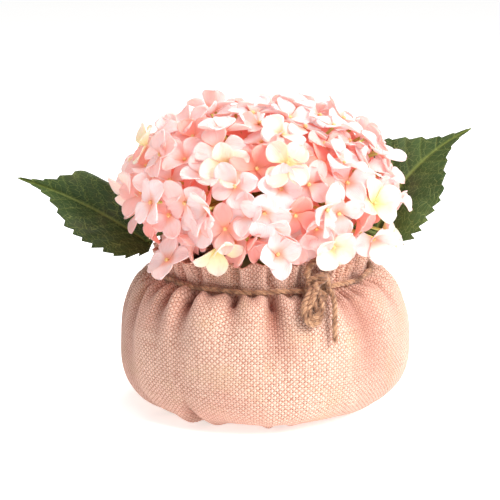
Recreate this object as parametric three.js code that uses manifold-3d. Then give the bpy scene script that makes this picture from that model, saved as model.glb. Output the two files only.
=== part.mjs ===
// A silk hydrangea head standing in a small burlap bag that is tied at the neck with jute twine.
// Millimetres, +Z up. The origin is the centre of the bag's flat underside and -Y is the front.
import * as THREE from 'three';
import { mergeVertices } from 'three/addons/utils/BufferGeometryUtils.js';
import Module from 'manifold-3d';

const wasm = await Module();
wasm.setup();

const GAP = 0.3;
// Bag
const BAG_RADIUS = 80;
const BASE_RADIUS = 46;
const NECK_RADIUS = 56;
const NECK_HEIGHT = 75;
const FRILL_HEIGHT = 14;
const SHOULDER = BAG_RADIUS - NECK_RADIUS;
const CLOTH = 1.2;
const PLEATS = 20;
const PLEAT_DEPTH = 2.6;
const NECK_PLEAT_DEPTH = 1.2;
const AROUND = PLEATS * 3;
// Filler and stem
const FILLER_GAP = 0.4;
const FILLER_BELOW_TIE = 7;
const STEM_RADIUS = 4;
const STEM_FOOT = 24;
const HUB_RADIUS = 15;
const HUB_OVER_TIE = 44;
const HUB_HEIGHT = NECK_HEIGHT + HUB_OVER_TIE;
// Twine
const TWINE_RADIUS = 1.5;
const KNOT_TURN = 26;
const TWINE_STAND = TWINE_RADIUS + GAP;
const KNOT_SPREAD = 5;
const KNOT_OUT = 6;
// Flower head
const HEAD_OVER_NECK = 18;
const HEAD_REACH = NECK_RADIUS + HEAD_OVER_NECK;
const FLORET_SPAN = 31;
const FLORET_CUP = 3.4;
const PETAL = 0.6;
const NOTCH = 0.6;
const PEDICEL_RADIUS = 0.9;
// Leaves
const LEAF_LENGTH = 82;
const LEAF_WIDTH = 52;
const LEAF_THICKNESS = 0.8;
const STALK_RADIUS = 1.4;
// Rings of florets: height over the hub, distance out, upward look of the florets and their turns in degrees.
const RINGS = [
  { rise: -29, reach: HEAD_REACH - 3, look: -8, turns: [-45] },
  { rise: -21, reach: HEAD_REACH - 6, look: -8, turns: [-20, 6, 32, 57, 80, 118, 146, 174, 202, 230] },
  {
    rise: 1.5,
    reach: HEAD_REACH,
    look: 3,
    turns: [-76, -50, -25, 0, 25, 50, 76, 116, 142, 168, 192, 218, 244],
  },
  {
    rise: 23.5,
    reach: HEAD_REACH - 9.5,
    look: 36,
    turns: [-84, -54, -18, 10, 40, 68, 116, 143, 174, 205, 237],
  },
  { rise: 36.5, reach: HEAD_REACH - 30.5, look: 62, turns: [-72, -30, 12, 56, 98, 138, 180, 222] },
  { rise: 43, reach: HEAD_REACH - 57, look: 82, turns: [-20, 100, 220] },
];

const group = new THREE.Group();
const radians = THREE.MathUtils.degToRad;
const vec = (x, y, z) => new THREE.Vector3(x, y, z);

// A point from its turn round the bag in degrees (0 at the front), its distance out and its height.
function polar(turn, reach, rise) {
  const angle = radians(turn);
  return vec(reach * Math.sin(angle), -reach * Math.cos(angle), rise);
}

function material(color, roughness) {
  return new THREE.MeshStandardMaterial({ color, roughness, metalness: 0 });
}

const burlap = material('#d9b09a', 0.95);
const foam = material('#6f8a5c', 0.9);
const greenStem = material('#7f9440', 0.7);
const jute = material('#9a6f47', 0.95);
const leafGreen = material('#3c5230', 0.6);
const pinkSilk = material('#f3b8b4', 0.75);
const creamSilk = material('#f6e9c4', 0.75);

function addPiece(name, geometry, look) {
  const mesh = new THREE.Mesh(geometry, look);
  mesh.name = name;
  group.add(mesh);
}

function fromTriangles(points, faces) {
  const geometry = new THREE.BufferGeometry();
  const places = points.flatMap((p) => [p.x, p.y, p.z]);
  geometry.setAttribute('position', new THREE.Float32BufferAttribute(places, 3));
  geometry.setIndex(faces.flat());
  return geometry;
}

function toSolid(geometry) {
  const bare = geometry.clone();
  bare.deleteAttribute('normal');
  bare.deleteAttribute('uv');
  const merged = mergeVertices(bare, 1e-4);
  return new wasm.Manifold(new wasm.Mesh({
    numProp: 3,
    vertProperties: new Float32Array(merged.attributes.position.array),
    triVerts: new Uint32Array(merged.index.array),
  }));
}

function toGeometry(solid) {
  const mesh = solid.getMesh();
  const geometry = new THREE.BufferGeometry();
  geometry.setAttribute('position', new THREE.BufferAttribute(new Float32Array(mesh.vertProperties), 3));
  geometry.setIndex(new THREE.BufferAttribute(new Uint32Array(mesh.triVerts), 1));
  return geometry;
}

function join(...geometries) {
  return toGeometry(geometries.map(toSolid).reduce((whole, next) => whole.add(next)));
}

function tube(points, radius, steps, sides) {
  const section = new THREE.Shape();
  for (let k = 0; k < sides; k += 1) {
    const a = (k / sides) * 2 * Math.PI;
    const corner = [radius * Math.cos(a), radius * Math.sin(a)];
    if (k === 0) section.moveTo(...corner);
    else section.lineTo(...corner);
  }
  return new THREE.ExtrudeGeometry(section, {
    steps,
    bevelEnabled: false,
    extrudePath: new THREE.CatmullRomCurve3(points),
  });
}

function latheUp(profile, segments) {
  const turned = new THREE.LatheGeometry(profile.map(([r, z]) => new THREE.Vector2(r, z)), segments);
  return turned.rotateX(Math.PI / 2);
}

// Closes a grid of points (rows by columns) on itself all round, from a top skin and a bottom skin.
function closedPlate(top, bottom) {
  const rows = top.length;
  const columns = top[0].length;
  const points = [...top.flat(), ...bottom.flat()];
  const at = (skin, i, j) => skin * rows * columns + i * columns + j;
  const faces = [];
  const quad = (a, b, c, d) => faces.push([a, b, c], [a, c, d]);
  for (let i = 0; i + 1 < rows; i += 1) {
    for (let j = 0; j + 1 < columns; j += 1) {
      quad(at(0, i, j), at(0, i + 1, j), at(0, i + 1, j + 1), at(0, i, j + 1));
      quad(at(1, i, j), at(1, i, j + 1), at(1, i + 1, j + 1), at(1, i + 1, j));
    }
    quad(at(0, i, 0), at(1, i, 0), at(1, i + 1, 0), at(0, i + 1, 0));
    quad(at(0, i + 1, columns - 1), at(1, i + 1, columns - 1), at(1, i, columns - 1), at(0, i, columns - 1));
  }
  for (let j = 0; j + 1 < columns; j += 1) {
    quad(at(0, 0, j + 1), at(1, 0, j + 1), at(1, 0, j), at(0, 0, j));
    quad(at(0, rows - 1, j), at(1, rows - 1, j), at(1, rows - 1, j + 1), at(0, rows - 1, j + 1));
  }
  return fromTriangles(points, faces);
}

// Closes a stack of rings (all with the same number of points) with a point at each end.
function closedRings(first, rings, last) {
  const count = rings[0].length;
  const points = [first, ...rings.flat(), last];
  const end = points.length - 1;
  const at = (ring, k) => 1 + ring * count + (k % count);
  const faces = [];
  for (let k = 0; k < count; k += 1) {
    faces.push([0, at(0, k), at(0, k + 1)]);
    for (let ring = 0; ring + 1 < rings.length; ring += 1) {
      faces.push([at(ring, k), at(ring + 1, k), at(ring + 1, k + 1)]);
      faces.push([at(ring, k), at(ring + 1, k + 1), at(ring, k + 1)]);
    }
    faces.push([at(rings.length - 1, k), end, at(rings.length - 1, k + 1)]);
  }
  return fromTriangles(points, faces);
}

// The bag's middle line as [radius, height, pleat depth, outward slope in degrees].
const BAG_LINE = [
  [BASE_RADIUS, 0, 0, -90],
  [BASE_RADIUS + 16, 3.8, 0.6, -68],
  [BAG_RADIUS - 6.5, 10, 0.8, -45],
  [BAG_RADIUS - 1, NECK_HEIGHT * 0.28, 0.3, -14],
  [BAG_RADIUS, NECK_HEIGHT * 0.48, 0.2, 0],
  [BAG_RADIUS - 1, NECK_HEIGHT * 0.66, 0.8, 14],
  [NECK_RADIUS + SHOULDER * 0.79, NECK_HEIGHT - 13, PLEAT_DEPTH, 38],
  [NECK_RADIUS + SHOULDER * 0.52, NECK_HEIGHT - 4.5, PLEAT_DEPTH, 62],
  [NECK_RADIUS + SHOULDER * 0.25, NECK_HEIGHT - TWINE_STAND - NECK_PLEAT_DEPTH, NECK_PLEAT_DEPTH, 86],
  [NECK_RADIUS, NECK_HEIGHT - TWINE_STAND - 1, 0, 45],
  [NECK_RADIUS, NECK_HEIGHT, NECK_PLEAT_DEPTH, 0],
  [NECK_RADIUS + 1, NECK_HEIGHT + FRILL_HEIGHT * 0.5, PLEAT_DEPTH, -8],
  [NECK_RADIUS + 1, NECK_HEIGHT + FRILL_HEIGHT, PLEAT_DEPTH, 0],
];

function bagRing([radius, height, depth, slope], inward) {
  const ring = [];
  for (let k = 0; k < AROUND; k += 1) {
    const turn = (-360 * k) / AROUND;
    const offset = depth * Math.cos(radians(turn * PLEATS)) - inward;
    const reach = radius + offset * Math.cos(radians(slope));
    ring.push(polar(turn, reach, height + offset * Math.sin(radians(slope))));
  }
  return ring;
}

function bagShell() {
  const outside = BAG_LINE.map((line) => bagRing(line, 0));
  const inside = BAG_LINE.map((line) => bagRing(line, CLOTH)).reverse();
  return closedRings(vec(0, 0, 0), [...outside, ...inside], vec(0, 0, CLOTH));
}

function fillerBody() {
  const inset = (line) => {
    const [radius, height, depth, slope] = line;
    const back = depth + CLOTH + FILLER_GAP + 0.4;
    return [radius - back * Math.cos(radians(slope)), height - back * Math.sin(radians(slope))];
  };
  const sides = BAG_LINE.slice(0, 7).map(inset);
  const hole = STEM_RADIUS + GAP;
  const top = NECK_HEIGHT - FILLER_BELOW_TIE;
  const rim = [[NECK_RADIUS, top], [hole, top], [hole, STEM_FOOT - GAP], [0, STEM_FOOT - GAP]];
  return latheUp([[0, sides[0][1]], ...sides, ...rim], 30);
}

function stemAndHub() {
  const hubLow = HUB_HEIGHT - HUB_RADIUS;
  return latheUp([
    [0, STEM_FOOT],
    [STEM_RADIUS, STEM_FOOT],
    [STEM_RADIUS, hubLow - 4],
    [HUB_RADIUS * 0.75, HUB_HEIGHT - HUB_RADIUS * 0.66],
    [HUB_RADIUS, HUB_HEIGHT],
    [HUB_RADIUS * 0.75, HUB_HEIGHT + HUB_RADIUS * 0.66],
    [0, HUB_HEIGHT + HUB_RADIUS],
  ], 16);
}

// Four rounded petals in one cupped plate with a raised centre.
function floretPlate() {
  const sides = 16;
  const ring = (share, height, even) => {
    const points = [];
    for (let k = 0; k < sides; k += 1) {
      const a = (k / sides) * 2 * Math.PI;
      const lobe = NOTCH + (1 - NOTCH) * Math.abs(Math.cos(2 * a)) ** 0.5;
      const reach = even ? share : (share * lobe * FLORET_SPAN) / 2;
      points.push(vec(reach * Math.cos(a), reach * Math.sin(a), height));
    }
    return points;
  };
  const rings = [
    ring(1.8, 0.8, true),
    ring(0.6, FLORET_CUP * 0.36, false),
    ring(1, FLORET_CUP, false),
    ring(1, FLORET_CUP - PETAL, false),
    ring(0.6, FLORET_CUP * 0.36 - PETAL, false),
  ];
  return closedRings(vec(0, 0, 1.8), rings, vec(0, 0, -PETAL * 1.5));
}

// Points the piece's +Z along a direction and turns it about that direction.
function aimed(geometry, direction, roll, place) {
  const aim = new THREE.Quaternion().setFromUnitVectors(vec(0, 0, 1), direction.clone().normalize());
  const spin = new THREE.Quaternion().setFromAxisAngle(vec(0, 0, 1), radians(roll));
  return geometry.applyQuaternion(aim.multiply(spin)).translate(place.x, place.y, place.z);
}

function scatter(seed) {
  const s = Math.sin(seed * 12.9898) * 43758.5453;
  return s - Math.floor(s);
}

function addFlorets() {
  const hub = vec(0, 0, HUB_HEIGHT);
  let number = 0;
  RINGS.forEach(({ rise, reach, look, turns }) => {
    turns.forEach((turn, place) => {
      number += 1;
      const lift = polar(turn, Math.cos(radians(look)), Math.sin(radians(look)));
      const centre = polar(turn, reach, HUB_HEIGHT + rise).addScaledVector(lift, place % 2 ? 2 : 0);
      const tilt = radians(look + 10 * (scatter(number) - 0.5));
      const face = polar(turn + 12 * (scatter(number + 60) - 0.5), Math.cos(tilt), Math.sin(tilt));
      const backward = centre.clone().sub(hub);
      const plate = aimed(floretPlate(), face, 90 * scatter(number + 120), centre);
      const start = centre.clone().addScaledVector(face, 0.3);
      const foot = hub.clone().addScaledVector(backward.normalize(), HUB_RADIUS + 0.8);
      const pedicel = tube([start, start.clone().lerp(foot, 0.5), foot], PEDICEL_RADIUS, 1, 5);
      const cream = number % 6 === 1;
      addPiece(`floret_${number}`, join(plate, pedicel), cream ? creamSilk : pinkSilk);
    });
  });
}

// Half width of a leaf along its length, as [distance from the base, share of the widest half].
const LEAF_OUTLINE = [
  [0, 0.3], [0.06, 0.6], [0.15, 0.86], [0.28, 1], [0.45, 1], [0.56, 0.9], [0.65, 0.66], [0.73, 0.42],
  [0.81, 0.21], [0.9, 0.09], [1, 0.02],
];

function leafSwell(t) {
  const next = LEAF_OUTLINE.findIndex(([place]) => place >= t && place > 0);
  const [t0, w0] = LEAF_OUTLINE[next - 1];
  const [t1, w1] = LEAF_OUTLINE[next];
  return w0 + ((w1 - w0) * (t - t0)) / (t1 - t0);
}

// A serrated blade with a stalk that reaches back to the stem. folds are the angles of its two halves, from
// flat toward the face, and bow is how far the midrib bends sideways at its middle.
function leaf({ base, toward, face, stalk, folds, bow, droop }) {
  const along = toward.clone().normalize();
  const up = face.clone().addScaledVector(along, -face.dot(along)).normalize();
  const side = up.clone().cross(along);
  const steps = 28;
  const spread = [-1, -0.5, 0, 0.5, 1];
  const top = [];
  const bottom = [];
  for (let i = 0; i <= steps; i += 1) {
    const t = i / steps;
    const tooth = i % 2 ? 1.05 : 0.97;
    const half = Math.max(0.9, 0.5 * LEAF_WIDTH * leafSwell(t) * tooth);
    const middle = base.clone().addScaledVector(along, t * LEAF_LENGTH).addScaledVector(up, -droop * t * t)
      .addScaledVector(side, 4 * bow * t * (1 - t));
    const row = spread.map((s) => {
      const fold = radians(s < 0 ? folds[0] : folds[1]);
      return middle.clone().addScaledVector(side, s * half * Math.cos(fold))
        .addScaledVector(up, Math.abs(s) * half * Math.sin(fold));
    });
    top.push(row);
    bottom.push(row.map((p) => p.clone().addScaledVector(up, -LEAF_THICKNESS)));
  }
  const inBlade = base.clone().addScaledVector(along, 4).addScaledVector(up, -LEAF_THICKNESS);
  return join(closedPlate(top, bottom), tube([...stalk, inBlade], STALK_RADIUS, 12, 8));
}

// A point by its turn from the knot, its way across the shoulder (0 at the knot, 1 over the bag's side) and
// the height of what the twine lies on, over the tie.
function onShoulder([turn, share, rise]) {
  const near = NECK_RADIUS + KNOT_OUT;
  const far = NECK_RADIUS + SHOULDER * 0.79 + PLEAT_DEPTH + TWINE_STAND;
  return polar(KNOT_TURN + turn, near + share * (far - near), NECK_HEIGHT + rise + TWINE_STAND);
}

function twineAlong(points, steps) {
  return tube(points, TWINE_RADIUS, steps, 8);
}

function twineTie() {
  const reach = NECK_RADIUS + NECK_PLEAT_DEPTH + TWINE_STAND;
  const ring = [];
  for (let turn = 0; turn <= 360; turn += 9) ring.push(polar(KNOT_TURN + turn, reach, NECK_HEIGHT));
  const knot = new THREE.SphereGeometry(KNOT_SPREAD, 12, 8).scale(0.9, 0.6, 0.85);
  const centre = onShoulder([0, 0, 1.2]);
  knot.rotateZ(radians(KNOT_TURN)).translate(centre.x, centre.y, centre.z);
  const hanging = [
    [-1, 0, 1.2], [-5.5, 0.36, 0.2], [-10, 0.72, -5.6], [-10.5, 0.96, -11.5], [-7.5, 1.04, -14.3],
    [-4.5, 0.96, -11], [-3, 0.72, -4.6], [-1, 0.06, 1.2],
  ];
  const standing = [
    [0, 0.03, 1.2], [-5, 0.03, 7], [-3.5, 0.06, 13], [0, 0.07, 15], [3.5, 0.06, 13], [4.5, 0.03, 6],
    [0, 0, 1.2],
  ];
  const loops = [hanging, standing].map((line) => twineAlong(line.map(onShoulder), 18));
  return join(twineAlong(ring, 48), knot, ...loops);
}

function twineTail() {
  const route = [[3, 0.14, -0.3], [3.4, 0.52, -1], [2.2, 0.86, -7], [0.6, 1.08, -14.6], [0, 1.22, -22.6]];
  return twineAlong(route.map(onShoulder), 12);
}

addPiece('bag', bagShell(), burlap);
addPiece('filler', fillerBody(), foam);
addPiece('stem', stemAndHub(), greenStem);
addPiece('twine_tie', twineTie(), jute);
addPiece('twine_tail', twineTail(), jute);
addPiece('leaf_left', leaf({
  base: vec(-HEAD_REACH + 12, 8, NECK_HEIGHT + 10),
  toward: vec(-70, 0, 36),
  face: vec(0.2, -0.95, 0.25),
  stalk: [
    vec(-STEM_RADIUS - 2, 0, NECK_HEIGHT + 19),
    vec(-HEAD_REACH + 34, 3, NECK_HEIGHT + 22),
    vec(-HEAD_REACH + 17, 7, NECK_HEIGHT + 17),
  ],
  folds: [44, 50],
  bow: -3.5,
  droop: -3,
}), leafGreen);
addPiece('leaf_right', leaf({
  base: vec(HEAD_REACH - 13, 10, NECK_HEIGHT + 12),
  toward: vec(53, 4, 62),
  face: vec(-0.1, -0.95, 0.2),
  stalk: [
    vec(STEM_RADIUS + 2, 0, NECK_HEIGHT + 19),
    vec(HEAD_REACH - 34, 5, NECK_HEIGHT + 22),
    vec(HEAD_REACH - 18, 10, NECK_HEIGHT + 18),
  ],
  folds: [34, 4],
  bow: 9,
  droop: -4,
}), leafGreen);
addFlorets();

export default group;
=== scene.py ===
"""A silk hydrangea head in a gathered burlap bag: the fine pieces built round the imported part."""

import math

import bpy
import numpy as np
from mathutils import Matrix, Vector


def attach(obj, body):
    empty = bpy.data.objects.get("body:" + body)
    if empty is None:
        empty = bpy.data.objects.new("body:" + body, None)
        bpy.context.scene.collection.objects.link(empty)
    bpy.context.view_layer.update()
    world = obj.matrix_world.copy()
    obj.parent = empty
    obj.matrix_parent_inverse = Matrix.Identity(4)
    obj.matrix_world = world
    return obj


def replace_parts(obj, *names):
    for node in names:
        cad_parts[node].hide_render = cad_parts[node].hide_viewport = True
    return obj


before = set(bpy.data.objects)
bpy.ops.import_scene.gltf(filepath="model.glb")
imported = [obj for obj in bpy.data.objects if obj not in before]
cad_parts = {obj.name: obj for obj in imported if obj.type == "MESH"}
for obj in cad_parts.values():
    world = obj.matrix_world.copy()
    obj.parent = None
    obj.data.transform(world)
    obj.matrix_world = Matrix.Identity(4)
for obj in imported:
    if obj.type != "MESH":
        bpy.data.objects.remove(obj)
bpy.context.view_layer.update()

MM = 0.001
HUB = np.array([0.0, 0.0, 0.119])
NECK_RADIUS = 0.056
NECK_HEIGHT = 0.075
SHOULDER = 0.024
PLEAT_DEPTH = 0.0026
TWINE_RADIUS = 0.0015
TWINE_STAND = 0.0018
KNOT_OUT = 0.006
KNOT_TURN = 26
WARP_PITCH = 0.00148
WEFT_PITCH = 0.00130
BAG_GIRTH = 0.503
# Where the pedicels leave the hub, from its middle, and how far back from it both leaves stand.
HUB_REACH = 0.0152
LEAF_LINE = 0.008


# ---------------------------------------------------------------- shader arithmetic


class Value:
    """A shader socket that takes part in Python sums."""

    def __init__(self, finish, socket):
        self.finish = finish
        self.socket = socket

    def math(self, operation, *others):
        values = dict(enumerate([self, *others]))
        return self.finish.node("ShaderNodeMath", {"operation": operation}, values)

    def __add__(self, other):
        return self.math("ADD", other)

    def __sub__(self, other):
        return self.math("SUBTRACT", other)

    def __rsub__(self, other):
        return self.finish.node("ShaderNodeMath", {"operation": "SUBTRACT"}, {0: other, 1: self})

    def __mul__(self, other):
        return self.math("MULTIPLY", other)

    def __truediv__(self, other):
        return self.math("DIVIDE", other)

    def __pow__(self, other):
        return self.math("POWER", other)

    def __abs__(self):
        return self.math("ABSOLUTE")

    def sin(self):
        return self.math("SINE")

    def maximum(self, other):
        return self.math("MAXIMUM", other)

    def between(self, low, high):
        """0 below low, 1 above high and a soft step between them."""
        ends = {"From Min": low, "From Max": high, "Value": self}
        return self.finish.node("ShaderNodeMapRange", {"interpolation_type": "SMOOTHSTEP"}, ends)


class Finish:
    """One material, its Principled shader and the ways to add nodes to it."""

    def __init__(self, name, **constants):
        self.material = bpy.data.materials.new(name)
        self.material.use_nodes = True
        self.tree = self.material.node_tree
        self.surface = self.tree.nodes["Principled BSDF"]
        for socket, value in constants.items():
            self.surface.inputs[socket.replace("_", " ")].default_value = value

    def node(self, kind, settings=None, values=None, output=0):
        made = self.tree.nodes.new(kind)
        for key, setting in (settings or {}).items():
            setattr(made, key, setting)
        for key, value in (values or {}).items():
            if isinstance(value, Value):
                self.tree.links.new(value.socket, made.inputs[key])
            else:
                made.inputs[key].default_value = value
        return Value(self, made.outputs[output])

    def layer(self, name, output=2):
        """A value kept on the mesh: output 2 is a number and output 1 a vector."""
        return self.node("ShaderNodeAttribute", {"attribute_name": name}, output=output)

    def place(self):
        return self.node("ShaderNodeTexCoord", output=3)

    def split(self, vector):
        parts = self.node("ShaderNodeSeparateXYZ", values={0: vector}).socket.node
        return [Value(self, parts.outputs[i]) for i in range(3)]

    def join(self, x, y, z=0.0):
        return self.node("ShaderNodeCombineXYZ", values={0: x, 1: y, 2: z})

    def noise(self, vector, scale, detail=3.0, roughness=0.55):
        values = {"Vector": vector, "Scale": scale, "Detail": detail, "Roughness": roughness}
        return self.node("ShaderNodeTexNoise", values=values)

    def cells(self, vector, scale):
        """How far each place is from the edge of its cell."""
        values = {"Vector": vector, "Scale": scale}
        return self.node("ShaderNodeTexVoronoi", {"feature": "DISTANCE_TO_EDGE"}, values)

    def mix(self, share, first, second):
        """Blends two colours."""
        values = {0: share, 6: as_colour(first), 7: as_colour(second)}
        return self.node("ShaderNodeMix", {"data_type": "RGBA"}, values, output=2)

    def tint(self, share, first, second):
        """Multiplies the first colour by the second."""
        values = {0: share, 6: as_colour(first), 7: as_colour(second)}
        settings = {"data_type": "RGBA", "blend_type": "MULTIPLY"}
        return self.node("ShaderNodeMix", settings, values, output=2)

    def feed(self, socket, value):
        self.tree.links.new(value.socket, self.surface.inputs[socket])

    def bump(self, height, distance, strength=1.0):
        values = {"Height": height, "Distance": distance, "Strength": strength}
        self.feed("Normal", self.node("ShaderNodeBump", values=values))


def as_colour(value):
    return value if isinstance(value, Value) else (*value, 1.0)


# ---------------------------------------------------------------- finishes


def burlap_finish():
    f = Finish("burlap", Roughness=0.95, Sheen_Weight=0.15, Sheen_Roughness=0.6)
    across, along, valley = f.split(f.layer("cloth", 1))
    wander = f.noise(f.join(across * 60.0, along * 60.0), 1.0, 2.0)
    across = across / WARP_PITCH + (wander - 0.5) * 1.4
    along = along / WEFT_PITCH - (wander - 0.5) * 1.4
    warp_line = (across * math.pi).sin()
    weft_line = (along * math.pi).sin()
    over = warp_line * weft_line
    warp_slub = f.noise(f.join(across * 0.9, along * 0.07), 1.0, 2.0)
    weft_slub = f.noise(f.join(across * 0.07, along * 0.9, 7.0), 1.0, 2.0)
    warp = (abs(warp_line) ** 0.45) * (over * 0.35 + 0.6) * (warp_slub * 0.7 + 0.65)
    weft = (abs(weft_line) ** 0.45) * (over * -0.35 + 0.6) * (weft_slub * 0.7 + 0.65)
    height = warp.maximum(weft)
    slub = warp_slub * 0.5 + weft_slub * 0.5
    grain = f.noise(f.join(across, along, 19.0), 1.1, 2.0)
    # Painted highlight: cells where the warp lies over are lighter than cells where the weft lies over, mixed
    # with random slub and grain tone.
    painted_highlight_and_tone = over.between(-0.8, 0.8) * 0.5 + slub.between(0.36, 0.64) * 0.2 + grain.between(0.35, 0.65) * 0.3
    thread = f.mix(painted_highlight_and_tone, (0.46, 0.175, 0.105), (1.0, 0.72, 0.585))
    patches = f.noise(f.join(across, along, 3.0), 0.06, 3.0)
    thread = f.mix(patches.between(0.50, 0.72) * 0.35, thread, (0.66, 0.44, 0.24))
    blush = f.noise(f.join(across, along, 11.0), 0.03, 2.0)
    thread = f.mix(blush.between(0.42, 0.68) * 0.4, thread, (0.72, 0.34, 0.26))
    # Painted shade: the holes between the threads are painted dark red-brown.
    nearest = abs(warp_line).maximum(abs(weft_line))
    painted_hole_shade = 1.0 - (nearest * (slub * 0.9 + 0.55)).between(0.25, 0.68)
    colour = f.mix(painted_hole_shade, thread, (0.17, 0.04, 0.02))
    # Painted shade: the third number of the cloth layer darkens the cloth to red-brown in the valleys of the
    # folds and tucks below the tie.
    colour = f.tint(valley, colour, (0.45, 0.22, 0.17))
    f.feed("Base Color", colour)
    f.bump(height, 0.0008, 0.9)
    return f.material


def petal_finish():
    f = Finish(
        "petal_silk",
        Roughness=0.62,
        Subsurface_Weight=0.45,
        Subsurface_Radius=(1.0, 0.40, 0.28),
        Subsurface_Scale=0.003,
        Sheen_Weight=0.1,
        # Painted light: the petals glow faintly.
        Emission_Strength=0.26,
    )
    across, along, spare = f.split(f.layer("petal", 1))
    depth, cream, pale_tone_and_painted_light = f.split(f.layer("tone", 1))
    rim = along.between(0.35, 1.0)
    # depth is the depth of pink: random tone plus painted shade on the side away from the key light and deep
    # in the head; the third number adds paleness, partly painted light on the lit side.
    body = f.mix(depth, (0.95, 0.69, 0.66), (0.96, 0.22, 0.15))
    body = f.mix(pale_tone_and_painted_light, body, (0.94, 0.81, 0.81))
    edge = f.mix(depth, (0.94, 0.76, 0.75), (0.96, 0.40, 0.33))
    colour = f.mix(rim * 0.7, body, edge)
    colour = f.mix(cream, colour, f.mix(rim, (0.92, 0.81, 0.46), (0.93, 0.82, 0.68)))
    throat = f.mix(cream, (0.95, 0.36, 0.22), (0.66, 0.68, 0.13))
    colour = f.mix((1.0 - along.between(0.04, 0.42)) * 0.8, colour, throat)
    fan = across * 7.0 / (along + 0.45) + f.noise(f.join(across, along, spare), 2.5, 2.0) * 1.6
    veins = abs((fan * math.pi).sin()) ** 0.35
    mottle = f.noise(f.join(across, along, spare), 3.0, 4.0)
    colour = f.tint((1.0 - veins) * 0.28 + mottle.between(0.45, 0.75) * 0.22, colour, (0.90, 0.58, 0.56))
    f.feed("Base Color", f.tint(1.0, colour, (0.78, 0.76, 0.77)))
    # Painted light: the glow takes the petal's colour, turning coral where the pink is deep, and stands in
    # for light passing through the silk.
    f.feed("Emission Color", f.mix(depth.between(0.3, 1.0) * 0.9, colour, (1.0, 0.15, 0.10)))
    fibre = f.noise(f.join(across * 30.0, along * 6.0, spare), 1.0, 4.0)
    f.bump(veins * 0.6 + mottle * 0.6 + fibre * 0.4, 0.0005, 0.5)
    return f.material


def knob_finish():
    f = Finish("floret_knob", Roughness=0.5, Subsurface_Weight=0.2, Subsurface_Scale=0.001)
    grain = f.noise(f.place(), 900.0, 3.0)
    f.feed("Base Color", f.mix(grain.between(0.35, 0.7), (0.90, 0.60, 0.24), (0.90, 0.34, 0.14)))
    f.bump(grain, 0.0003, 0.5)
    return f.material


def pedicel_finish():
    f = Finish("pedicel", Roughness=0.55, Subsurface_Weight=0.2, Subsurface_Scale=0.001)
    grain = f.noise(f.place(), 400.0, 3.0)
    f.feed("Base Color", f.mix(grain, (0.72, 0.70, 0.18), (0.50, 0.55, 0.14)))
    f.bump(grain, 0.0002, 0.4)
    return f.material


def leaf_finish():
    f = Finish("leaf_cloth", Roughness=0.6, Specular_IOR_Level=0.25)
    across, along, rib = f.split(f.layer("leaf", 1))
    place = f.place()
    warp = f.noise(place, 90.0, 2.0)
    net_place = f.join(across + warp * 0.1, along + warp * 0.1)
    net = f.cells(net_place, 11.0)
    fine = f.cells(net_place, 30.0)
    patches = f.noise(place, 28.0, 4.0)
    flesh = f.mix(patches.between(0.35, 0.7), (0.022, 0.048, 0.012), (0.050, 0.085, 0.020))
    flesh = f.mix(f.noise(place, 60.0, 2.0).between(0.5, 0.75) * 0.5, flesh, (0.085, 0.080, 0.042))
    net_line = 1.0 - net.between(0.0, 0.045)
    fine_line = 1.0 - fine.between(0.0, 0.09)
    colour = f.mix(fine_line * 0.16, flesh, (0.15, 0.20, 0.06))
    colour = f.mix(net_line * 0.6, colour, (0.22, 0.27, 0.08))
    colour = f.mix(rib * 0.6, colour, (0.30, 0.36, 0.09))
    f.feed("Base Color", colour)
    f.feed("Roughness", patches * 0.25 + 0.45)
    f.bump(rib * -0.8 - net_line * 0.5 - fine_line * 0.15 + patches * 0.3, 0.0004, 0.7)
    return f.material


def jute_finish():
    f = Finish("jute", Roughness=0.9, Sheen_Weight=0.3)
    around, along, _ = f.split(f.layer("strand", 1))
    fibres = f.noise(f.join(around * 4.0, along * 260.0 + around * 3.0), 1.0, 4.0)
    tone = f.noise(f.place(), 170.0, 3.0)
    # Painted shade: the grooves between the three plies are darkened.
    painted_ply_groove_shade = abs((around * 1.5).sin())
    colour = f.mix(fibres.between(0.35, 0.65), (0.26, 0.10, 0.04), (0.74, 0.44, 0.26))
    colour = f.mix(tone.between(0.44, 0.62) * 0.75, colour, (0.17, 0.06, 0.024))
    colour = f.tint(painted_ply_groove_shade.between(0.6, 1.0) * 0.45, colour, (0.32, 0.20, 0.14))
    f.feed("Base Color", colour)
    f.bump(fibres, 0.0004, 0.8)
    return f.material


def foam_finish():
    f = Finish("filler_foam", Roughness=0.95)
    cells = f.node("ShaderNodeTexVoronoi", values={"Vector": f.place(), "Scale": 900.0})
    tone = f.noise(f.place(), 60.0, 4.0)
    f.feed("Base Color", f.mix(tone, (0.10, 0.16, 0.06), (0.20, 0.26, 0.11)))
    f.bump(cells, 0.0004, 0.6)
    return f.material


def stem_finish():
    f = Finish("stem_green", Roughness=0.5)
    streak = f.noise(f.place(), 150.0, 4.0)
    f.feed("Base Color", f.mix(streak, (0.20, 0.30, 0.07), (0.42, 0.45, 0.13)))
    f.bump(streak, 0.0003, 0.5)
    return f.material


def floor_finish():
    f = Finish("pale_floor", Roughness=0.9, Emission_Color=(1.0, 1.0, 1.0, 1.0), Emission_Strength=0.55)
    tone = f.noise(f.place(), 3.0, 2.0)
    f.feed("Base Color", f.mix(tone * 0.2, (0.93, 0.93, 0.925), (0.95, 0.95, 0.95)))
    return f.material


# ---------------------------------------------------------------- meshes


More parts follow.
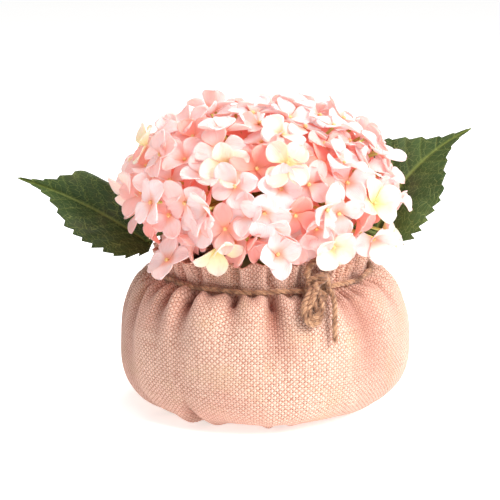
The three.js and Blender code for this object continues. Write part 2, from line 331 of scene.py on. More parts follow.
def new_piece(name, points, faces, materials, layers=None, kinds=None, domain="POINT"):
    """A smooth mesh on the root body, with its vector layers and the material number of each face."""
    mesh = bpy.data.meshes.new(name)
    mesh.from_pydata(np.asarray(points).tolist(), [], faces)
    mesh.shade_smooth()
    for key, values in (layers or {}).items():
        layer = mesh.attributes.new(key, "FLOAT_VECTOR", domain)
        layer.data.foreach_set("vector", np.asarray(values, dtype=np.float32).ravel())
    for material in materials:
        mesh.materials.append(material)
    if kinds is not None:
        mesh.polygons.foreach_set("material_index", np.array(kinds, dtype=np.int32))
    piece = bpy.data.objects.new(name, mesh)
    bpy.context.scene.collection.objects.link(piece)
    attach(piece, "root")
    return piece


def smooth_line(points, count):
    """Points at even steps along a soft curve through the given ones."""
    points = np.asarray(points, dtype=float)
    padded = np.vstack([2 * points[0] - points[1], points, 2 * points[-1] - points[-2]])
    fine = []
    for i in range(1, len(padded) - 2):
        a, b, c, d = padded[i - 1 : i + 3]
        for t in np.linspace(0, 1, 16, endpoint=False):
            square, cube = 2 * a - 5 * b + 4 * c - d, 3 * b - a - 3 * c + d
            fine.append(0.5 * (2 * b + (c - a) * t + square * t**2 + cube * t**3))
    fine = np.array([*fine, points[-1]])
    steps = np.r_[0, np.cumsum(np.linalg.norm(np.diff(fine, axis=0), axis=1))]
    even = np.linspace(0, steps[-1], count)
    return np.stack([np.interp(even, steps, fine[:, k]) for k in range(fine.shape[1])], axis=1)


def unit(vector):
    vector = np.asarray(vector, dtype=float)
    return vector / np.linalg.norm(vector, axis=-1, keepdims=True)


def turned(turn, reach, rise):
    """A point from its turn round the bag in degrees (0 at the front), distance out and height."""
    a = np.radians(turn)
    return np.stack(np.broadcast_arrays(reach * np.sin(a), -reach * np.cos(a), rise), axis=-1)


def ring_faces(rings, around, first=0):
    """Quads between rings of points that close on themselves."""
    k = np.arange(around)
    after = (k + 1) % around
    faces = []
    for i in range(rings - 1):
        low, high = first + i * around, first + (i + 1) * around
        faces.append(np.stack([low + k, low + after, high + after, high + k], axis=1))
    return np.vstack(faces)


def soft_step(value, low, high):
    t = np.clip((value - low) / (high - low), 0, 1)
    return t * t * (3 - 2 * t)


# ---------------------------------------------------------------- bag

BAG_LINE = [
    (0, 0), (32, 0), (46, 0), (62, 3.8), (73.5, 10), (79, 21), (80, 36), (79, 50),
    (75, 62), (68.5, 70.4), (62, 72.2), (58, 72.8), (56.1, 75), (56.6, 80), (58, 85), (59, 89),
]
# Where the underside turns up into the side, in millimetres from the middle.
FOOT_EDGE = 56
BAG_AROUND = 400
BAG_ROWS = 110
CLOTH = 0.0011
# Gathers below the tie as [turn, depth, reach down the bag], in degrees and millimetres.
FRONT_GATHERS = [
    (-86, 3.4, 34), (-77, 3.0, 28), (-69, 5.4, 44), (-59, 3.4, 30), (-49, 5.6, 36), (-37, 7.5, 32),
    (-28, 2.0, 12), (-15, 5.4, 20), (-6, 1.8, 10), (3, 6.0, 30), (13, 1.8, 10), (20, 2.4, 14),
    (35, 4.6, 24), (42, 5.6, 30), (49, 4.4, 26), (58, 2.2, 14), (67, 4.2, 22), (79, 2.8, 18),
]
# Tucks at the foot as [turn, depth, width, height], in degrees and millimetres.
FOOT_TUCKS = [
    (-33, 9.0, 2.2, 19), (-60, 7.5, 2.8, 17), (8, 5.5, 1.8, 9), (58, 2.4, 3.0, 12), (130, 4.5, 2.5, 17),
    (205, 4.5, 2.5, 16),
]


def gathers():
    rng = np.random.default_rng(11)
    turns = range(91, 266, 11)
    back = [(turn + rng.uniform(-2, 2), rng.uniform(2, 4.5), rng.uniform(15, 36)) for turn in turns]
    return FRONT_GATHERS + back


def bag_relief(turn, below, foot):
    """How far the cloth stands out of the bag's middle line, in millimetres."""
    relief = np.zeros_like(below)
    squeeze = 0.3 + 0.7 * soft_step(np.abs(below), 1.0, 7.0)
    for centre, depth, reach in gathers():
        side = ((turn - centre - 0.05 * np.maximum(below, 0) + 180) % 360 - 180) * math.pi / 180 * 60
        wide = 2.0 + 0.10 * np.maximum(below, 0)
        fade = np.where(below > 0, np.exp(-((np.maximum(below, 0) / reach) ** 1.6)), 0.85)
        valley = np.exp(-((side / wide) ** 2))
        shoulder = np.exp(-(((np.abs(side) - 2.1 * wide) / (1.3 * wide)) ** 2))
        relief += 1.3 * depth * fade * squeeze * (0.22 * shoulder - valley)
    a = np.radians(turn)
    ripple = np.sin(47 * a + 2 * np.sin(5 * a)) * np.exp(-np.abs(below) / 7.0) * 0.55
    relief += ripple * squeeze
    for centre, depth, wide, high in FOOT_TUCKS:
        side = ((turn - centre + 180) % 360 - 180) * math.pi / 180 * 62
        rise = np.exp(-((foot / high) ** 2)) * soft_step(foot, -18, -6)
        crease = np.exp(-np.abs(side) / wide)
        bulge = np.exp(-(((side + 3.2 * wide) / (2.2 * wide)) ** 2))
        bulge = bulge + 0.6 * np.exp(-(((side - 3.4 * wide) / (2.4 * wide)) ** 2))
        relief += depth * rise * (0.45 * bulge - crease)
    swell = 0.9 * np.sin(3 * a + 0.6 + foot / 30) + 0.6 * np.sin(5 * a + 1.9 - foot / 22)
    swell = swell + 0.4 * np.sin(8 * a + foot / 15)
    return relief + swell * soft_step(foot, 0, 25) * soft_step(below, 4, 30)


def build_bag():
    line = smooth_line(BAG_LINE, BAG_ROWS + 1)[1:]
    run = np.r_[0, np.cumsum(np.linalg.norm(np.diff(line, axis=0), axis=1))]
    way = unit(np.gradient(line, axis=0))
    out = np.stack([way[:, 1], -way[:, 0]], axis=1)
    neck_run = run[np.argmin(np.abs(line[:, 1] - NECK_HEIGHT / MM) + np.abs(line[:, 0] - NECK_RADIUS / MM))]
    edge_run = run[np.argmin(np.abs(line[:, 0] - FOOT_EDGE) + line[:, 1])]
    turns = np.arange(BAG_AROUND) * 360 / BAG_AROUND
    turn, below = np.meshgrid(turns, neck_run - run)
    foot = np.broadcast_to((run - edge_run)[:, None], turn.shape)
    relief = bag_relief(turn, below, foot) * soft_step(foot, -16, 4)
    wave = 1.6 * np.sin(np.radians(turn) * 23) + 0.8 * np.sin(np.radians(turn) * 9 + 1)
    relief = relief + soft_step(-below, 2, 15) * wave
    # Painted shade: how dark the cloth is painted in the valleys of its folds below the tie, kept as the
    # third number of the cloth layer.
    shade = np.clip(-relief / 5.0, 0, 1) * soft_step(below, -3, 1) * 0.9
    points = []
    for inward in (0.0, CLOTH / MM):
        stand = relief - inward
        reach = line[:, 0][:, None] + stand * out[:, 0][:, None]
        rise = line[:, 1][:, None] + stand * out[:, 1][:, None]
        rise = rise + soft_step(-below, 3, 15) * 0.9 * np.sin(np.radians(turn) * 14 + 2)
        points.append(turned(turn, np.maximum(reach, 0.2), np.maximum(rise, inward)) * MM)
    rows, around = turn.shape
    outer = points[0].reshape(-1, 3)
    inner = points[1][::-1].reshape(-1, 3)
    shell = np.vstack([outer, inner])
    faces = ring_faces(2 * rows, around)
    k = np.arange(around)
    caps = [k[::-1].tolist(), (k + (2 * rows - 1) * around).tolist()]
    corner_turn = np.stack([k, k + 1, k + 1, k], axis=1) / around * BAG_GIRTH
    after = (k + 1) % around
    shade = np.vstack([shade, shade[::-1]])
    level = np.r_[run, run[::-1]] * MM
    cloth = []
    for i in range(2 * rows - 1):
        heights = np.broadcast_to([level[i], level[i], level[i + 1], level[i + 1]], (around, 4))
        painted_fold_shade = np.stack([shade[i], shade[i, after], shade[i + 1, after], shade[i + 1]], axis=1)
        cloth.append(np.stack([corner_turn, heights, painted_fold_shade], axis=2).reshape(-1, 3))
    cloth.append(np.zeros((2 * around, 3)))
    bag = new_piece(
        "burlap_bag", shell, faces.tolist() + caps, [burlap_finish()],
        {"cloth": np.vstack(cloth)}, domain="CORNER",
    )
    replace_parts(bag, "bag")


# ---------------------------------------------------------------- florets

PETAL_LONG = 0.0138
PETAL_WIDE = 0.0128
PETAL_THICK = 0.0004
PETAL_ROWS = 13
PETAL_COLUMNS = 11
# How cream the florets are that are not pink.
CREAM = {
    "floret_2": 0.85, "floret_4": 0.45, "floret_6": 0.7, "floret_12": 0.2, "floret_17": 0.8,
    "floret_25": 0.95, "floret_27": 0.5, "floret_28": 0.6, "floret_38": 0.3,
}


def petal_plate(rng, long, wide, rise, bowl, curl):
    """One rounded petal in its own frame: out along X, across along Y, facing +Z."""
    share = (1 - np.cos(np.linspace(0, math.pi, PETAL_ROWS))) / 2
    s, t = np.meshgrid(np.linspace(-1, 1, PETAL_COLUMNS), share)
    neck = 0.28 + 0.72 * soft_step(t, 0.0, 0.52)
    dome = np.sqrt(np.clip(1 - (np.clip(t - 0.5, 0, 0.5) / 0.5) ** 2, 0.0009, 1))
    half = 0.5 * wide * neck * dome
    x = 0.0008 + t * long
    y = s * half
    z = 2 * bowl * y**2 / wide - curl * long * t**2
    z = z + 0.0005 * np.sin(2.2 * s + 3.1 * t + rng.uniform(0, 6)) * t
    z = z + 0.0004 * np.sin(6 * s + rng.uniform(0, 6)) * t**3
    c, k = math.cos(rise), math.sin(rise)
    top = np.stack([x * c - z * k, y, x * k + z * c], axis=-1)
    bottom = top - np.array([0, 0, PETAL_THICK])
    coordinates = np.stack([s, t, np.full_like(s, rng.uniform(0, 50))], axis=-1)
    return top, bottom, coordinates


def plate_faces(rows, columns):
    """Faces of a closed plate whose top grid comes first and bottom grid second."""
    at = np.arange(rows * columns).reshape(rows, columns)
    below = at + rows * columns
    top = np.stack([at[:-1, :-1], at[1:, :-1], at[1:, 1:], at[:-1, 1:]], axis=-1).reshape(-1, 4)
    under = np.stack([below[:-1, :-1], below[:-1, 1:], below[1:, 1:], below[1:, :-1]], axis=-1).reshape(-1, 4)
    loop = np.r_[at[0, :], at[1:, -1], at[-1, -2::-1], at[-2:0:-1, 0]]
    after = np.roll(loop, -1)
    size = rows * columns
    rim = np.stack([loop, after, after + size, loop + size], axis=1)
    return np.vstack([top, under, rim])


def knob_mesh(radius, rings=6, around=12):
    """A small domed button with a dimple, standing on z = 0."""
    profile = [(1.0, -0.3), (1.08, 0.25), (0.9, 0.75), (0.55, 1.0), (0.25, 0.92), (0.02, 0.85)]
    a = np.arange(around) / around * 2 * math.pi
    points = [np.stack([r * np.cos(a), r * np.sin(a), np.full_like(a, z)], axis=1) for r, z in profile]
    points = np.vstack(points) * radius
    faces = ring_faces(rings, around).tolist()
    k = np.arange(around)
    return points, faces + [k[::-1].tolist(), (k + (rings - 1) * around).tolist()]


def frame_of(normal, roll):
    """Axes (rows) of a floret that faces along normal, turned by roll."""
    normal = unit(normal)
    side = np.cross(normal, [0, 0, 1]) if abs(normal[2]) < 0.95 else np.cross(normal, [0, 1, 0])
    side = unit(side)
    other = np.cross(normal, side)
    c, s = math.cos(roll), math.sin(roll)
    return np.array([c * side + s * other, -s * side + c * other, normal])


def pedicel_mesh(start, foot, radius=0.0008, around=8, steps=8):
    path = smooth_line([start, 0.5 * (start + foot) + np.array([0, 0, -0.0015]), foot], steps)
    return tube_mesh(path, np.full(steps, radius), around)


def tube_mesh(path, radii, around, twist=0.0, lobes=0, lobe_depth=0.0):
    """A closed tube along a path, round or with twisted lobes."""
    way = unit(np.gradient(path, axis=0))
    side = np.cross(way[0], [0.3, 0.2, 0.93])
    side = unit(side)
    sides = [side]
    for i in range(1, len(path)):
        side = side - way[i] * np.dot(side, way[i])
        side = unit(side)
        sides.append(side)
    sides = np.array(sides)
    others = np.cross(way, sides)
    a = np.arange(around) / around * 2 * math.pi
    run = np.r_[0, np.cumsum(np.linalg.norm(np.diff(path, axis=0), axis=1))]
    points, coordinates = [], []
    for i in range(len(path)):
        shape = radii[i] * np.ones(around)
        if lobes:
            shape = radii[i] * (1 - lobe_depth * (1 - np.abs(np.cos(lobes / 2 * (a - twist * run[i])))))
        ring = path[i] + shape[:, None] * (np.cos(a)[:, None] * sides[i] + np.sin(a)[:, None] * others[i])
        points.append(ring)
        coordinates.append(np.stack([a - twist * run[i], np.full(around, run[i]), np.zeros(around)], axis=1))
    faces = ring_faces(len(path), around).tolist()
    k = np.arange(around)
    faces += [k[::-1].tolist(), (k + (len(path) - 1) * around).tolist()]
    return np.vstack(points), faces, np.vstack(coordinates)


class Gathered:
    """Collects small meshes into one, keeping a finish number and layers for each."""

    def __init__(self):
        self.points, self.faces, self.kinds = [], [], []
        self.petal, self.tone = [], []
        self.count = 0

    def add(self, points, faces, kind, petal=None, tone=(0, 0, 0)):
        points = np.asarray(points).reshape(-1, 3)
        self.points.append(points)
        self.faces += [[int(i) + self.count for i in face] for face in faces]
        self.kinds += [kind] * len(faces)
        self.petal.append(np.zeros_like(points) if petal is None else np.asarray(petal).reshape(-1, 3))
        self.tone.append(np.broadcast_to(np.asarray(tone, dtype=float), points.shape))
        self.count += len(points)

    def piece(self, name, materials, slot, keys=("petal", "tone")):
        layers = dict(zip(keys, (np.vstack(self.petal), np.vstack(self.tone))))
        return new_piece(name, np.vstack(self.points), self.faces, materials, layers, self.kinds)


FLORET_FACES = plate_faces(PETAL_ROWS, PETAL_COLUMNS)


def add_floret(store, seed, centre, normal, roll, size, tone, foot):
    """Four petals, the button in their middle and the wire behind them."""
    rng = np.random.default_rng(seed)
    high = soft_step(centre[2], 0.13, 0.158)
    normal = unit(normal + (0.58 - 0.30 * high) * rng.uniform(-1, 1, 3))
    axes = frame_of(normal, roll)
    cupping = rng.choice([0.05, 0.22, 0.42, 0.62], p=[0.3, 0.3, 0.25, 0.15]) * (1 - 0.5 * high)
    centre = centre - normal * PETAL_LONG * 0.45 * math.sin(cupping)
    for k in range(4):
        inner = k % 2
        long = PETAL_LONG * size * rng.uniform(0.86, 1.10)
        wide = PETAL_WIDE * size * rng.uniform(0.90, 1.12)
        rise = cupping + rng.uniform(-0.16, 0.20) + 0.06 * inner
        bowl, curl = rng.uniform(0.15, 0.55), rng.uniform(-0.08, 0.26)
        top, bottom, coordinates = petal_plate(rng, long, wide, rise, bowl, curl)
        both = np.concatenate([top.reshape(-1, 3), bottom.reshape(-1, 3)])
        lean = rng.uniform(-0.30, 0.30)
        c, s = math.cos(lean), math.sin(lean)
        both = both @ np.array([[1, 0, 0], [0, c, s], [0, -s, c]])
        both[:, 2] += 0.0006 * inner
        spin = k * math.pi / 2 + rng.uniform(-0.16, 0.16)
        c, s = math.cos(spin), math.sin(spin)
        placed = centre + (both @ np.array([[c, s, 0], [-s, c, 0], [0, 0, 1]])) @ axes
        depth, cream, pale_tone_and_painted_light = tone
        shade = np.clip(depth + rng.uniform(-0.14, 0.14), 0, 1)
        mood = (shade, cream, np.clip(pale_tone_and_painted_light + rng.uniform(-0.2, 0.2), 0, 1))
        store.add(placed, FLORET_FACES.tolist(), 0, np.concatenate([coordinates.reshape(-1, 3)] * 2), mood)
    knob, knob_faces = knob_mesh(0.0011)
    store.add(centre + (knob + np.array([0, 0, 0.0010])) @ axes, knob_faces, 1)
    points, faces, _ = pedicel_mesh(centre - axes[2] * 0.0003, foot)
    store.add(points, faces, 2)


def read_pose(node):
    """The centre, facing direction and roll of a packed floret."""
    count = len(node.data.vertices)
    points = np.empty(count * 3)
    node.data.vertices.foreach_get("co", points)
    matrix = np.array(node.matrix_world)
    points = points.reshape(-1, 3) @ matrix[:3, :3].T + matrix[:3, 3]
    outer = points[np.linalg.norm(points - HUB, axis=1) > 0.024]
    middle = outer.mean(axis=0)
    for _ in range(3):
        near = outer[np.linalg.norm(outer - middle, axis=1) < 0.0175]
        middle = near.mean(axis=0)
    rim = near[np.linalg.norm(near - middle, axis=1) > 0.006]
    middle = rim.mean(axis=0)
    normal = np.linalg.svd(rim - middle)[2][2]
    if np.dot(normal, middle - HUB) < 0:
        normal = -normal
    axes = frame_of(normal, 0)
    flat = (rim - middle) @ axes.T
    spin = np.sum((flat[:, 0] + 1j * flat[:, 1]) ** 4)
    centre = middle - normal * 0.0019
    return centre, normal, np.angle(spin) / 4


def tone_for(name, centre, rng):
    """[depth of pink, cream, paleness]: deeper low and to the left, paler up and to the right; this is
    painted shade on the side away from the key light and painted light on the lit side, over random tone.
    """
    cream = CREAM.get(name, 0.0)
    lit = (centre[0] * 0.7 + (centre[2] - 0.12) * 1.0) / 0.07
    depth = np.clip(0.12 - 0.12 * lit + rng.uniform(-0.2, 0.22), 0.0, 0.6)
    pale_tone_and_painted_light = np.clip(0.62 + 0.25 * lit + rng.uniform(-0.4, 0.4), 0, 1)
    return depth, cream, pale_tone_and_painted_light


def build_florets():
    materials = [petal_finish(), knob_finish(), pedicel_finish()]
    centres = []
    names = sorted((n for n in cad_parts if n.startswith("floret_")), key=lambda n: int(n[7:]))
    for number, name in enumerate(names):
        rng = np.random.default_rng(500 + number)
        centre, normal, roll = read_pose(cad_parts[name])
        centres.append(centre)
        foot = HUB + unit(centre - HUB) * HUB_REACH
        tone = tone_for(name, centre, rng)
        store = Gathered()
        add_floret(store, 40 + number, centre, normal, roll, 1.0, tone, foot)
        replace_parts(store.piece("silk_" + name, materials, "petal_silk"), name)
    outer, inner = (0.071, 0.071, 0.043), (0.060, 0.060, 0.035)
    taken = build_layer("gap_floret", materials, np.array(centres), outer, 0.0108, (0.0, 0.75), 77)
    taken = build_collar(materials, taken)
    # The deep florets get deep pink and little paleness: painted shade for the inside of the head.
    build_layer("deep_floret", materials, taken, inner, 0.0105, (0.7, 1.0), 78)


def build_collar(materials, centres):
    """Florets low round the mouth of the bag, which hide its inside."""
    rng = np.random.default_rng(61)
    turns = np.arange(0, 360, 20)
    count = len(turns)
    own = turned(turns + rng.uniform(-4, 4, count), 0.052 + rng.uniform(0, 0.003, count), 0.0995)
    for made, centre in enumerate(own, 1):
        if abs(centre[1] - LEAF_LINE) < 0.012:
            continue
        store = Gathered()
        normal = unit(centre - HUB + np.array([0, 0, 0.006]))
        tone = (rng.uniform(0.2, 0.7), 0.0, rng.uniform(0.1, 0.5))
        foot = HUB + unit(centre - HUB) * HUB_REACH
        roll, size = rng.uniform(0, 1.5), rng.uniform(0.8, 0.95)
        add_floret(store, 900 + made, centre, normal, roll, size, tone, foot)
        store.piece(f"collar_floret_{made}", materials, "petal_silk")
    return np.vstack([centres, own])


def build_layer(title, materials, centres, reach, apart, depths, seed):
    """Florets in the gaps that are left between those already placed; returns every centre."""
    rng = np.random.default_rng(seed)
    golden = math.pi * (3 - math.sqrt(5))
    tries = 520
    own = []
    for i in range(tries):
        height = 1 - 1.5 * (i + 0.5) / tries
        flat = math.sqrt(1 - height * height)
        direction = np.array([flat * math.sin(i * golden), -flat * math.cos(i * golden), height])
        centre = HUB + np.array([0, 0, 0.001]) + direction * np.array(reach)
        beside_leaf = abs(centre[1] - LEAF_LINE) < 0.014 and abs(centre[0]) > 0.045 and centre[2] < 0.14
        if beside_leaf:
            centre = HUB + (centre - HUB) * 0.66
        crowded = np.linalg.norm(centres - centre, axis=1).min() < apart
        near_own = own and np.linalg.norm(np.array(own) - centre, axis=1).min() < PETAL_LONG
        lowest = 0.104 if beside_leaf else 0.0945
        if centre[2] < lowest or crowded or near_own:
            continue
        own.append(centre)
        normal = unit(direction * [1, 1, 1.5])
        # depths is the range of pink depth; for the deep florets its high range and the cut in paleness are
        # painted shade.
        tone = (rng.uniform(*depths), 0.0, rng.uniform(0, 0.8) * (1 - depths[0]))
        store = Gathered()
        foot = HUB + unit(centre - HUB) * HUB_REACH
        roll, size = rng.uniform(0, 1.5), rng.uniform(0.86, 1.0)
        add_floret(store, seed * 10 + i, centre, normal, roll, size, tone, foot)
        store.piece(f"{title}_{len(own)}", materials, "petal_silk")
    return np.vstack([centres, own])


# ---------------------------------------------------------------- leaves

LEAF_LENGTH = 0.082
LEAF_WIDTH = 0.052
LEAF_STEPS = 180
LEAF_SPREAD = 33
LEAF_TEETH = 13
# Half width of a leaf along its length, as [distance from the base, share of the widest half].
LEAF_OUTLINE = [
    (0, 0.3), (0.06, 0.6), (0.15, 0.86), (0.28, 1), (0.45, 1), (0.56, 0.9), (0.65, 0.66), (0.73, 0.42),
    (0.81, 0.21), (0.9, 0.09), (1, 0.02),
]


def half_blade(share_along, rng, fold, roll, roll_from):
    """Distance across the blade, reach and height of one half, from the midrib to its toothed edge."""
    outline = smooth_line(LEAF_OUTLINE, 80)
    half = 0.5 * LEAF_WIDTH * np.interp(share_along, outline[:, 0], outline[:, 1])
    place = share_along * LEAF_TEETH + rng.uniform(0, 1)
    bite = rng.uniform(0.5, 1.5, LEAF_TEETH + 2)[np.floor(place).astype(int)]
    tooth = 0.0028 * bite * (place % 1 - 0.55) * np.minimum(1, half / 0.009)
    share = np.linspace(0, 1, LEAF_SPREAD // 2 + 1)
    arc = half[:, None] * share + tooth[:, None] * share**5
    angle = math.radians(fold) - math.radians(roll) * soft_step(arc, roll_from, roll_from + 0.010)
    step = np.diff(arc, axis=1)
    middle = 0.5 * (angle[:, 1:] + angle[:, :-1])
    start = np.zeros((len(half), 1))
    reach = np.hstack([start, np.cumsum(step * np.cos(middle), axis=1)])
    height = np.hstack([start, np.cumsum(step * np.sin(middle), axis=1)])
    return arc, reach, height


def build_leaf(name, node, finish, base, toward, face, stalk, lower, upper, bow, droop, seed):
    """lower and upper hold the fold, the roll back and the start of the roll of each half."""
    rng = np.random.default_rng(seed)
    base, stalk = np.array(base), [np.array(p) for p in stalk]
    along = unit(np.array(toward, dtype=float))
    up = np.array(face, dtype=float)
    up = unit(up - along * np.dot(up, along))
    side = np.cross(up, along)
    length = np.linspace(0, 1, LEAF_STEPS + 1)
    arcs, reaches, heights = [], [], []
    for sign, (fold, roll, roll_from) in ((-1, lower), (1, upper)):
        arc, reach, height = half_blade(length, rng, fold, roll, roll_from)
        order = slice(None, 0, -1) if sign < 0 else slice(None)
        arcs.append(sign * arc[:, order])
        reaches.append(sign * reach[:, order])
        heights.append(height[:, order])
    arc, reach, height = np.hstack(arcs), np.hstack(reaches), np.hstack(heights)
    t = np.broadcast_to(length[:, None], arc.shape)
    wide = np.abs(arc) / (0.5 * LEAF_WIDTH)
    vein_phase = (t - 0.34 * wide * (1 - 0.3 * t)) * 8 + 0.12 * np.sin(9 * t + 3 * wide + seed)
    vein = np.exp(-(((vein_phase - np.round(vein_phase)) / 0.038) ** 2)) * soft_step(t, 0.02, 0.08)
    midrib = np.exp(-((arc / 0.0007) ** 2))
    height = height + 0.0014 * np.sin(8 * t + 2 * np.sign(arc) + seed) * wide
    height = height + 0.0008 * np.sin(21 * t + seed) * wide**2
    height = height - 0.0004 * vein * soft_step(wide, 0, 0.1) - 0.0007 * midrib
    height = height - np.cos(2 * math.pi * vein_phase) * 0.0005 * np.minimum(wide, 0.6)
    height = height - droop * t**2
    reach = reach + 4 * bow * t * (1 - t)
    place = base + along * (t * LEAF_LENGTH)[..., None] + side * reach[..., None] + up * height[..., None]
    rib = np.clip(vein * (1 - 0.5 * wide) * 0.55 + midrib, 0, 1)
    coordinates = np.stack([arc / LEAF_WIDTH * 2, t * 1.55, rib], axis=-1)
    points = np.vstack([place.reshape(-1, 3), (place - up * 0.0006).reshape(-1, 3)])
    faces = plate_faces(LEAF_STEPS + 1, arc.shape[1]).tolist()
    layer = np.vstack([coordinates.reshape(-1, 3)] * 2)
    blade_start = base + along * 0.004 - up * 0.0006
    path = smooth_line([*stalk, blade_start], 24)
    stalk_points, stalk_faces, _ = tube_mesh(path, np.linspace(0.0014, 0.0011, 24), 12)
    faces += [[i + len(points) for i in face] for face in stalk_faces]
    layer = np.vstack([layer, np.tile([0.0, 0.0, 0.6], (len(stalk_points), 1))])
    points = np.vstack([points, stalk_points])
    leaf = new_piece(name, points, faces, [finish], {"leaf": layer})
    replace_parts(leaf, node)


def build_leaves():
    cloth = leaf_finish()
    build_leaf(
        "leaf_on_left", "leaf_left", cloth, (-0.062, 0.008, 0.085), (-70, 0, 36), (0.2, -0.95, 0.25),
        [(-0.006, 0, 0.094), (-0.040, 0.003, 0.097), (-0.057, 0.007, 0.092)],
        (26, 125, 0.012), (50, 20, 0.010), -0.0035, -0.003, 3,
    )
    build_leaf(
        "leaf_on_right", "leaf_right", cloth, (0.061, 0.010, 0.087), (53, 4, 62), (-0.1, -0.95, 0.2),
        [(0.006, 0, 0.094), (0.040, 0.005, 0.097), (0.056, 0.010, 0.093)],
        (36, 20, 0.012), (5, 10, 0.018), 0.009, -0.004, 8,
    )


# ---------------------------------------------------------------- twine


def on_shoulder(turn, share, rise):
    """A point by its turn from the knot, its way across the shoulder and the height in mm under it."""
    near = NECK_RADIUS + KNOT_OUT
    far = NECK_RADIUS + SHOULDER * 0.79 + PLEAT_DEPTH + TWINE_STAND
    return turned(KNOT_TURN + turn, near + share * (far - near), NECK_HEIGHT + rise * MM + TWINE_STAND)


def twine_strand(path, radius):
    radii = np.full(len(path), radius)
    return tube_mesh(path, radii, 24, twist=2 * math.pi / 0.0105, lobes=3, lobe_depth=0.30)


def stray_fibres(path, count, seed, reach):
    """Fine hairs that stand off the twine."""
    rng = np.random.default_rng(seed)
    points, faces = [], []
    total = 0
    for _ in range(count):
        i = rng.integers(1, len(path) - 1)
        way = unit(path[i + 1] - path[i - 1])
        out = unit(np.cross(way, rng.normal(size=3)))
        start = path[i] + out * TWINE_RADIUS * 0.8
        end = start + out * rng.uniform(0.3, 1.0) * reach + way * rng.uniform(-1.2, 1.2) * reach
        bend = 0.5 * (start + end) + rng.normal(size=3) * reach * 0.3
        radii = np.linspace(0.00011, 0.00005, 6)
        hair, hair_faces, _ = tube_mesh(smooth_line([start, bend, end], 6), radii, 4)
        points.append(hair)
        faces += [[k + total for k in face] for face in hair_faces]
        total += len(hair)
    return np.vstack(points), faces


def build_twine():
    jute = jute_finish()
    store = Gathered()
    ring_turns = np.linspace(KNOT_TURN, KNOT_TURN + 360, 500)
    a = np.radians(ring_turns)
    reach = NECK_RADIUS + 0.0030 + 0.00015 * np.sin(9 * a)
    ring = turned(ring_turns, reach, NECK_HEIGHT + 0.0002 * np.sin(2 * a) + 0.0003 * np.sin(11 * a))
    lines = [(ring, TWINE_RADIUS)]
    hanging = [
        [-1, 0, 1.2], [-5.5, 0.36, 0.2], [-10, 0.72, -5.6], [-10.5, 0.96, -11.5], [-7.5, 1.04, -14.3],
        [-4.5, 0.96, -11], [-3, 0.72, -4.6], [-1, 0.06, 1.2],
    ]
    standing = [
        [0, 0.03, 1.2], [-5, 0.03, 7], [-3.5, 0.06, 13], [0, 0.07, 15], [3.5, 0.06, 13], [4.5, 0.03, 6],
        [0, 0, 1.2],
    ]
    wraps = [
        [-3.5, -0.1, -4], [-4.4, 0.2, -1], [-2, 0.32, 3], [2.4, 0.26, 5.4], [4.4, 0, 3], [3.8, 0.14, -2],
        [0.5, 0.34, -4.6], [-3.4, 0.26, -2], [-4.6, 0.06, 4], [0, 0.3, 7.4], [4, 0.12, 6.4], [4.4, 0.2, 0],
        [1, 0.36, -2.5], [-2.5, 0.3, 1], [-1.5, 0.3, 5],
    ]
    inner = [
        [-2, 0.3, 2.5], [-6, 0.60, -2.5], [-8.6, 0.86, -8.5], [-7.6, 1.0, -11.4], [-5.4, 0.92, -9],
        [-6.4, 0.72, -4], [-3.4, 0.42, 1.5], [-0.5, 0.2, 5],
    ]
    for line, steps in ((hanging, 150), (inner, 100), (standing, 110), (wraps, 230)):
        placed = [on_shoulder(*point) for point in line]
        lines.append((smooth_line(placed, steps), TWINE_RADIUS * 1.2))
    for path, radius in lines:
        points, faces, coordinates = twine_strand(path, radius)
        store.add(points, faces, 0, coordinates)
    for k, (path, _) in enumerate(lines):
        points, faces = stray_fibres(path, [420, 330, 160, 120, 420][k], 21 + k, 0.0024)
        store.add(points, faces, 0)
    tie = store.piece("twine_bow", [jute], "jute", ("strand",))
    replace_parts(tie, "twine_tie")
    build_tail(jute)


def build_tail(jute):
    route = [[3, 0.14, -0.3], [3.4, 0.52, -1], [2.2, 0.86, -7], [0.6, 1.08, -14.6], [0, 1.22, -22.6]]
    route = smooth_line([on_shoulder(*point) for point in route], 30)
    path = smooth_line(route, 90)
    store = Gathered()
    points, faces, coordinates = twine_strand(path, TWINE_RADIUS)
    store.add(points, faces, 0, coordinates)
    points, faces = stray_fibres(path, 90, 5, 0.0018)
    store.add(points, faces, 0)
    rng = np.random.default_rng(9)
    way = unit(path[-1] - path[-4])
    for _ in range(46):
        offset = unit(rng.normal(size=3)) * TWINE_RADIUS * 0.7 * rng.uniform(0.1, 1)
        start = path[-2] + offset - way * 0.001
        end = start + way * rng.uniform(0.0015, 0.0032) + offset * rng.uniform(0.2, 0.9)
        line = smooth_line([start, 0.5 * (start + end), end], 5)
        hair, hair_faces, _ = tube_mesh(line, np.full(5, 0.00012), 5)
        store.add(hair, hair_faces, 0)
    tail = store.piece("twine_tail_end", [jute], "jute", ("strand",))
    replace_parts(tail, "twine_tail")


# ---------------------------------------------------------------- studio


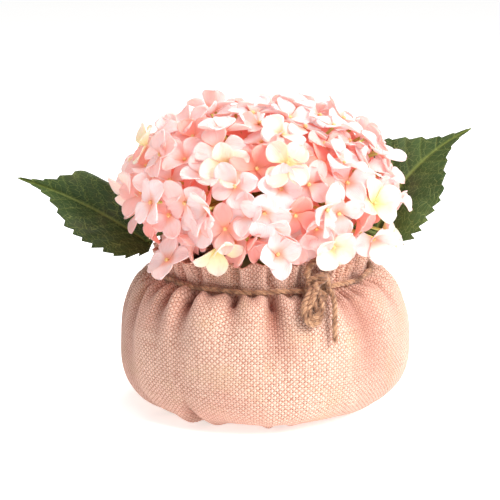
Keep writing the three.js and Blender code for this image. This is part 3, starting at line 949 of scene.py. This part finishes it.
def build_studio():
    mesh = bpy.data.meshes.new("floor")
    mesh.from_pydata([(-3, -3, 0), (3, -3, 0), (3, 3, 0), (-3, 3, 0)], [], [(0, 1, 2, 3)])
    mesh.materials.append(floor_finish())
    floor = bpy.data.objects.new("floor", mesh)
    bpy.context.scene.collection.objects.link(floor)
    world = bpy.data.worlds.new("studio")
    world.use_nodes = True
    world.node_tree.nodes["Background"].inputs["Color"].default_value = (1.0, 0.99, 0.98, 1)
    world.node_tree.nodes["Background"].inputs["Strength"].default_value = 0.42
    bpy.context.scene.world = world
    add_light("key_light", (0.80, -0.60, 0.75), 0.6, 17.5, (1.0, 0.985, 0.96))
    add_light("fill_light", (-0.9, -0.8, 0.7), 0.9, 0.3, (1.0, 0.88, 0.84))
    add_light("top_light", (0.0, -0.1, 1.3), 1.0, 6.2, (1.0, 0.99, 0.98))
    add_light("back_light", (0.2, 0.8, 0.9), 0.8, 6.0, (1.0, 1.0, 1.0))
    scene = bpy.context.scene
    scene.view_settings.view_transform = "Standard"


def add_light(name, place, size, power, colour):
    light = bpy.data.lights.new(name, "AREA")
    light.shape = "DISK"
    light.size = size
    light.energy = power
    light.color = colour
    lamp = bpy.data.objects.new(name, light)
    lamp.location = place
    aim = Vector((0, 0, 0.1)) - Vector(place)
    lamp.rotation_euler = aim.to_track_quat("-Z", "Y").to_euler()
    bpy.context.scene.collection.objects.link(lamp)


def build_camera():
    elevation = math.radians(13.0)
    distance = 1.0
    target = Vector((-0.0074, 0.0, 0.084))
    camera = bpy.data.cameras.new("camera")
    camera.lens = 36 / (2 * 0.1375)
    camera.sensor_width = 36
    view = bpy.data.objects.new("camera", camera)
    view.location = target + Vector((0, -math.cos(elevation), math.sin(elevation))) * distance
    view.rotation_euler = (math.radians(90) - elevation, 0, 0)
    bpy.context.scene.collection.objects.link(view)
    bpy.context.scene.camera = view


def dress_hidden_nodes():
    for node, material in (("filler", foam_finish()), ("stem", stem_finish())):
        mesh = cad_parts[node].data
        mesh.materials.clear()
        mesh.materials.append(material)


build_camera()
build_twine()
build_bag()
build_leaves()
build_florets()
dress_hidden_nodes()
build_studio()
